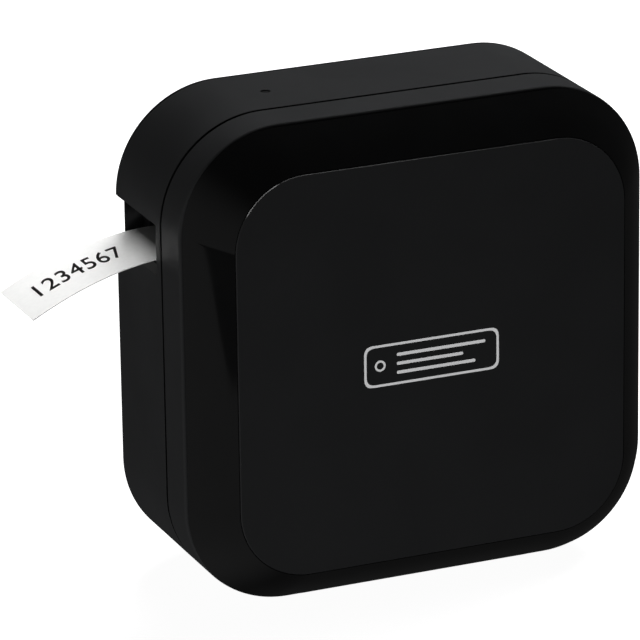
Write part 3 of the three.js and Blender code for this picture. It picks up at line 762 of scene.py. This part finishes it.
def make_panel_symbol():
    """A printed sign of a label: an outlined tag with a hole and bars for its lines."""
    y0, y1 = PANEL_LOW.y - 0.03, PANEL_LOW.y + 0.1
    hole_x, hole_radius, middle_z = -15.0, 1.5, 63.9
    bar_x, bar_half, bar_pitch = -10.4, 0.42, 2.4
    hole = []
    for k in range(24):
        angle = k * math.pi / 12
        hole.append((hole_x + hole_radius * math.cos(angle), middle_z + hole_radius * math.sin(angle)))
    parts = [
        band("tag", rectangle(-19.4, 18.0, middle_z - 5.6, middle_z + 5.6, 2.4), 0.65, y0, y1),
        band("tag_hole", hole, 0.55, y0, y1),
    ]
    for z, x_end in ((middle_z + bar_pitch, 14.2), (middle_z, 8.0), (middle_z - bar_pitch, 11.4)):
        parts.append(prism("line", rectangle(bar_x, x_end, z - bar_half, z + bar_half, 0.4), y0, y1))
    symbol = merge("panel_symbol", parts)
    smooth(symbol)
    paint_piece(symbol, "ink_grey")
    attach(symbol, BODY_OF["front_panel"])
    return symbol


def pocket_wall():
    """The cover's own wall round the label recess; its outer side follows the cover's slope."""
    y0, y1, wall_y = COVER_LOW.y, COVER_HIGH.y, 28
    slope = (HALF_W - BACK[0]) / (y1 - y0 - 0.85)
    outer_x = (wall_y - y0 - 0.5) * slope - HALF_W + 1
    inner_x, rim_x = RECESS_X + 2, -61.4
    outline = [(rim_x, y0), (rim_x, y0 + 2.1), (outer_x, wall_y), (inner_x, wall_y), (inner_x, y0)]
    return floor_prism("pocket_wall", outline, RECESS["z0"] - 2, RECESS["z1"] + 2)


def cover_rooms():
    """What the cover leaves free: the label recess, the exit guide, the catch and the case's knuckles."""
    y0, y1 = COVER_LOW.y, COVER_HIGH.y
    outside, gap = HALF_W + 2, HINGE["gap"]
    rooms = [
        prism("recess", recess_outline(), CAP_Y, RECESS["y1"]),
        block("guide_room", (-HALF_W, CAP_Y - 2, RECESS["z0"] - 3), (RECESS_X + 5, y0, RECESS["z1"] + 3.5)),
        block("latch_slot", (-47.2, y1 - 4, MID_Z - CATCH["slot"]), (-37.6, y1 + 1, MID_Z + CATCH["slot"])),
    ]
    for end in hinge_axes():
        z0, z1 = end.z - 0.5, end.z + HINGE["length"] + 0.5
        rooms.append(block("lip_room", (HALF_W - 6, CAP_Y - 2, z0), (outside, y0, z1)))
    for end in hinge_axes():
        for z in (end.z, end.z + HINGE["pitch"]):
            z0, z1 = z - gap, z + HINGE["knuckle"] + gap
            rooms.append(block("lug_room", (HALF_W - 4, CAP_Y - 1, z0), (outside, end.y + 2, z1)))
    return rooms


def cover_barrels():
    """The cover's knuckle at each hinge pin, between the case's two."""
    z0, z1 = HINGE["knuckle"] + HINGE["gap"], HINGE["pitch"] - HINGE["gap"]
    return [on_axis("barrel", end, z0, z1, HINGE["radius"], 32) for end in hinge_axes()]


def make_cover():
    y0, y1 = COVER_LOW.y, COVER_HIGH.y
    lip_in, lip_out, lip_y = inset(SIDE, WALL + 1.4), inset(SIDE, WALL + 0.3), y0 - 1.2
    stations = [(*inset(BACK, 2.3), y1 - 2.2), (*lip_in, y0 + 1.2), (*lip_in, lip_y), (*lip_out, lip_y),
                (*lip_out, y0)]
    stations += list(reversed(edge_round(SIDE, y0, 0.35, -1)))
    stations += sloped_border(SIDE, BACK, y0 + 0.5, y1 - 0.35)[1:]
    stations += [(*inset(BACK, 0.35), y1 - 0.08), (*inset(BACK, 0.9), y1)]
    cover = sweep("rear_cover", stations, closed=False)
    join(cover, pocket_wall())
    cut(cover, *cover_rooms())
    join(cover, *cover_barrels())
    cut(cover, *hinge_bores())
    finish_piece(cover, "cover_shell", "case_matte")


def make_cover_latch():
    """The sliding catch: a hooked bar, a grooved pad to push, and a shield behind the cover's slot."""
    hook, pad, shield = (CATCH[k] for k in ("hook", "pad", "shield"))
    slider = floor_prism("catch_slider", [
        (-37, 30.9), (-49.5, 30.9), (-59.2, 21.3), (-59.2, 18.5),
        (-57.2, 18.5), (-57.2, 20.5), (-48.7, 29), (-37, 29),
    ], MID_Z - hook, MID_Z + hook)
    join(slider, block("pad", (-46.8, 30, MID_Z - pad), (-41, 33.1, MID_Z + pad)),
         block("shield", (-50.5, 29.3, MID_Z - shield), (-34.2, 30.9, MID_Z + shield)))
    grooves = [block("grip", (x, 32.7, MID_Z - 6), (x + 0.6, 34, MID_Z + 6)) for x in (-45.6, -44.2, -42.8)]
    cut(slider, *grooves)
    round_edges(slider, 0.18)
    finish_piece(slider, "cover_latch", "button_matte")


# ---------------------------------------------------------------- buttons, feet, socket, light


def make_buttons():
    """Two round keys with a flange inside the case and a dished face."""
    for node in ("power_button", "feed_button"):
        low, high = box_mm(node)
        middle = middle_mm(node)
        flange, cap = (high.y - low.y) / 2, 3.5
        profile = [(low.x, flange), (low.x + 1, flange), (low.x + 1, cap), (high.x - 0.5, cap),
                   (high.x - 0.2, cap - 0.12), (high.x - 0.03, cap - 0.4), (high.x, cap - 0.75),
                   (high.x - 0.12, cap - 1.5), (high.x - 0.2, 0.6)]
        key = turned(f"{node}_cap", profile, ("x", (0, middle.y, middle.z)))
        finish_piece(key, node, "button_matte")
        make_button_mark(node, high.x - 0.2, middle.y, middle.z)


def make_button_mark(node, x, y, z):
    """A printed sign on a button: a broken ring with a bar, or an arrow with a bar."""
    if node == "power_button":
        radius, open_half, steps = 1.15, 0.6, 30
        turn = 5.08 / steps
        angles = [open_half + k * turn for k in range(steps + 1)]
        strokes = [[(math.sin(a) * radius, math.cos(a) * radius) for a in angles], [(0, 0.3), (0, 1.5)]]
    else:
        strokes = [[(-1.2, 0), (0.7, 0)], [(0, 0.75), (0.8, 0), (0, -0.75)], [(1.35, 0.9), (1.35, -0.9)]]
    parts = [side_stroke(f"{node}_sign", stroke, 0.28, x, y, z) for stroke in strokes]
    sign = merge(f"{node}_sign", parts)
    paint_piece(sign, "ink_grey")
    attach(sign, BODY_OF[node])


def side_stroke(name, points, width, x, y, z):
    """A thin raised line on a face that looks along +X, through (y, z) points about a centre."""
    sides = []
    for k, point in enumerate(points):
        before, after = Vector(points[max(k - 1, 0)]), Vector(points[min(k + 1, len(points) - 1)])
        along = (after - before).normalized()
        across = Vector((-along.y, along.x)) * width / 2
        sides.append((Vector(point) + across, Vector(point) - across))
    vertices = []
    for height in (x - 0.05, x + 0.12):
        for a, b in sides:
            vertices += [(height, y + a.x, z + a.y), (height, y + b.x, z + b.y)]
    count = 2 * len(sides)
    faces = [(0, 1, count + 1, count), (count - 2, count - 1, 2 * count - 1, 2 * count - 2)]
    for a in range(0, count - 2, 2):
        faces += [(a, a + 1, a + 3, a + 2), (count + a, count + a + 1, count + a + 3, count + a + 2),
                  (a, a + 2, count + a + 2, count + a), (a + 1, a + 3, count + a + 3, count + a + 1)]
    return new_piece(name, vertices, faces)


def make_feet():
    for node in ("front_foot", "rear_foot"):
        low, high = box_mm(node)
        foot = floor_prism(f"{node}_pad", rectangle(low.x, high.x, low.y, high.y, 2.5), low.z, high.z)
        round_edges(foot, 0.2, 60, 2)
        finish_piece(foot, node, "rubber")


def make_socket():
    low, high = box_mm("charging_socket")
    wall = 0.45
    can = block("socket_can", low, high)
    cut(can, block("mouth", low + Vector((2, wall, wall)), high + Vector((1, -wall, -wall))))
    round_edges(can, 0.3, 60, 3)
    tongue_low, tongue_high = (low.x + 1, low.y + 2, low.z + 1.8), (high.x - 1, high.y - 2, low.z + 2.5)
    join(can, block("socket_tongue", tongue_low, tongue_high))
    finish_piece(can, "charging_socket", "steel")


def make_status_light():
    low, high = box_mm("status_light_pipe")
    middle = middle_mm("status_light_pipe")
    flange, stem, top = 2.2, 1.2, high.z
    profile = [(low.z, flange), (low.z + 1.5, flange), (low.z + 1.5, stem), (top - 0.35, stem),
               (top - 0.12, 1.05), (top, 0.6), (top + 0.02, 0.1)]
    lens = turned("status_lens", profile, ("z", (middle.x, middle.y, 0)))
    finish_piece(lens, "status_light_pipe", "light_pipe")


# ---------------------------------------------------------------- printed label


def label_point(x, lift=0.0):
    """A point of the label's centreline at x, moved lift along its upward normal."""
    run = max(0.0, LABEL["bend_x"] - x)
    slope = 2 * LABEL["curl"] * run
    length = math.hypot(1, slope)
    return Vector((x - lift * slope / length, 0, LABEL["z"] - LABEL["curl"] * run * run + lift / length))


def make_label():
    """A curved sheet: a top and a bottom grid of points, joined round the rim."""
    steps, across = 72, 12
    start, end = STRIP_HIGH.x, LABEL["end_x"]
    y0, y1 = STRIP_LOW.y, STRIP_HIGH.y
    half = LABEL["thick"] / 2
    vertices, faces = [], []
    for lift in (half, -half):
        for i in range(steps + 1):
            point = label_point(start + (end - start) * i / steps, lift)
            vertices += [(point.x, y0 + (y1 - y0) * k / across, point.z) for k in range(across + 1)]
    row = across + 1
    bottom = (steps + 1) * row
    for side in (0, bottom):
        for i in range(steps):
            for k in range(across):
                a = side + i * row + k
                faces.append((a, a + 1, a + row + 1, a + row))
    for i in range(steps):
        for k in (0, across):
            a = i * row + k
            faces.append((a, a + row, bottom + a + row, bottom + a))
    for i in (0, steps):
        for k in range(across):
            a = i * row + k
            faces.append((a, a + 1, bottom + a + 1, bottom + a))
    return finish_piece(new_piece("label", vertices, faces), "label_strip", "label_white")


def embolden(work, amount):
    """Moves the outline of a flat mesh of lettering outwards; holes in the letters stay open."""
    moves = {}
    for vertex in work.verts:
        outward = []
        for edge in vertex.link_edges:
            if edge.is_boundary:
                start, end = edge.verts[0].co, edge.verts[1].co
                across = (end - start).cross(Vector((0, 0, 1))).normalized()
                inside = edge.link_faces[0].calc_center_median() - (start + end) / 2
                outward.append(-across if across.dot(inside) > 0 else across)
        if len(outward) == 2:
            sharpness = max(0.35, 1 + outward[0].dot(outward[1]))
            moves[vertex] = (outward[0] + outward[1]) * amount / sharpness
    for vertex, move in moves.items():
        vertex.co += move


def digits_mesh():
    """The flat outlines of a row of plain digits, one unit high."""
    curve = bpy.data.curves.new("digits", "FONT")
    curve.body = "1234567"
    curve.size = 1.0
    curve.align_x, curve.align_y = "CENTER", "CENTER"
    curve.space_character = 1.08
    holder = bpy.data.objects.new("digits", curve)
    bpy.context.scene.collection.objects.link(holder)
    graph = bpy.context.evaluated_depsgraph_get()
    mesh = bpy.data.meshes.new_from_object(holder.evaluated_get(graph))
    bpy.data.objects.remove(holder)
    return mesh


def make_label_digits():
    """Plain digits printed along the label, bent to its curve."""
    mesh = digits_mesh()
    work = bmesh.new()
    work.from_mesh(mesh)
    embolden(work, DIGITS["bold"])
    bmesh.ops.subdivide_edges(work, edges=work.edges, cuts=2)
    bmesh.ops.triangulate(work, faces=work.faces)
    xs = [v.co.x for v in work.verts]
    scale = DIGITS["length"] / (max(xs) - min(xs))
    middle_y = (STRIP_LOW.y + STRIP_HIGH.y) / 2
    for vertex in work.verts:
        place = label_point(DIGITS["centre_x"] + vertex.co.x * scale, LABEL["thick"] / 2 + DIGITS["proud"])
        vertex.co = Vector((place.x, middle_y + vertex.co.y * scale * DIGITS["tall"], place.z)) * MM
    work.to_mesh(mesh)
    work.free()
    digits = bpy.data.objects.new("label_digits", mesh)
    bpy.context.scene.collection.objects.link(digits)
    thicken = digits.modifiers.new("thickness", "SOLIDIFY")
    thicken.thickness = DIGITS["thick"] * MM
    thicken.offset = 0
    bake_modifiers(digits)
    paint_piece(digits, "ink_black")
    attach(digits, BODY_OF["label_strip"])
    return digits


# ---------------------------------------------------------------- inside


def cassette_outline(amount=0.0, corner=2.5):
    """The L-shaped outline of the tape cassette, drawn in by an amount."""
    low, high = box_mm("cassette_base")
    x0, x1, z0, z1 = low.x + amount, high.x - amount, low.z + amount, high.z - amount
    notch_x, notch_z = NOTCH["x"] + amount, NOTCH["z"] - amount
    corners = [(x0, z0), (x1, z0), (x1, z1), (notch_x, z1), (notch_x, notch_z), (x0, notch_z)]
    return softened(corners, corner)


def spool_rod(node, radius, y0, y1):
    middle = middle_mm(node)
    return rod("spool", (middle.x, y0, middle.z), (middle.x, y1, middle.z), radius)


def make_cassette_base():
    """The tray, with hubs for the rolls, a slot for the tape and slots that the lid snaps into."""
    low, high = box_mm("cassette_base")
    y0, y1, wall = low.y, high.y, 1.5
    tray = prism("cassette_tray", cassette_outline(), y0, y1)
    cut(tray, prism("inside", cassette_outline(wall, wall), y0 + wall, y1 + 1))
    join(tray, spool_rod("tape_roll", 7.6, y0, y1), spool_rod("ribbon_supply_roll", 3.2, y0, y1))
    slot_low = (-29, STRIP_LOW.y - 0.6, LABEL["z"] - 0.9)
    slot_high = (-26, y1 + 1, LABEL["z"] + 0.9)
    cut(
        tray,
        spool_rod("take_up_gear", 4.2, y0 - 1, y0 + 2.5),
        spool_rod("tape_roll", 6, y0 - 1, y1 - 2),
        block("tape_slot", slot_low, slot_high),
        *[block("snap", (x, y1 - 1.6, z - 2.5), (x + 2.4, y1 + 1, z + 2.5)) for x, z in SNAPS],
    )
    round_edges(tray, 0.25)
    finish_piece(tray, "cassette_base", "cassette_grey")


def make_cassette_lid():
    """The lid that faces the open cover: a sunk field with ribs, a window, a spool hole and an arrow."""
    low, high = box_mm("cassette_lid")
    y0, y1 = low.y, high.y
    above, below = y1 + 1, y0 - 1
    lid = prism("cassette_cover", cassette_outline(0.2), y0, y1)
    cut(lid, prism("field", rectangle(-6, 34, 73, 90, 2), y1 - 0.35, above))
    ribs = [rectangle(x0, 34, z, z + 1, 0.45) for x0, z in ((-6, 76.5), (-6, 79.5), (8, 82.5))]
    join(lid, *[prism("rib", rib, y1 - 0.6, y1 - 0.05) for rib in ribs])
    arrow = [(-40, 44), (-36, 47), (-36, 45), (-30, 45), (-30, 43), (-36, 43), (-36, 41)]
    cut(
        lid,
        spool_rod("take_up_gear", 5, y1 - 0.4, above),
        spool_rod("take_up_gear", 3, below, above),
        prism("window_dish", rectangle(-4, 32, 55, 69, 6), y1 - 0.4, above),
        prism("window", rectangle(-2, 30, 57, 67, 4), below, above),
        prism("arrow", arrow, y1 - 0.3, above),
    )
    round_edges(lid, 0.15, 50, 2)
    finish_piece(lid, "cassette_lid", "cassette_grey")


def make_heat_sink():
    """Pressed aluminium with fins along the print head."""
    low, high = box_mm("head_heat_sink")
    base_z, fin, count = low.z + 2, 0.9, 5
    pitch = (high.x - low.x - fin) / (count - 1)
    outline = [(low.x, low.z), (high.x, low.z)]
    for k in reversed(range(count)):
        x = low.x + k * pitch
        outline += [(x + fin, base_z), (x + fin, high.z), (x, high.z), (x, base_z)]
    del outline[-1], outline[2]
    sink = prism("head_fins", outline, low.y, high.y)
    round_edges(sink, 0.12, 50, 2)
    finish_piece(sink, "head_heat_sink", "heat_sink")


def dress_inside():
    """The CAD nodes that stay get their finished materials and smooth round faces."""
    slots = {part["node"]: part["material_slot"] for part in frame["record"]["subparts"]}
    for node, piece in NODES.items():
        if piece.hide_render:
            continue
        paint_piece(piece, slots[node])
        piece.data.polygons.foreach_set("use_smooth", [True] * len(piece.data.polygons))
        piece.data.set_sharp_from_angle(angle=math.radians(30))


# ---------------------------------------------------------------- everything

MATERIALS = make_materials()
bpy.context.scene.view_settings.view_transform = "Standard"
make_camera()
make_floor()
make_surround()
make_key_lights()
make_flag()
make_rear_shell()
make_exit_guide()
make_front_shell()
make_front_bezel()
make_rim_lights(make_front_panel())
make_mark_light(make_panel_symbol())
make_cover()
make_cover_latch()
make_buttons()
make_feet()
make_socket()
make_status_light()
make_label_light(make_label(), make_label_digits())
make_cassette_base()
make_cassette_lid()
make_heat_sink()
dress_inside()
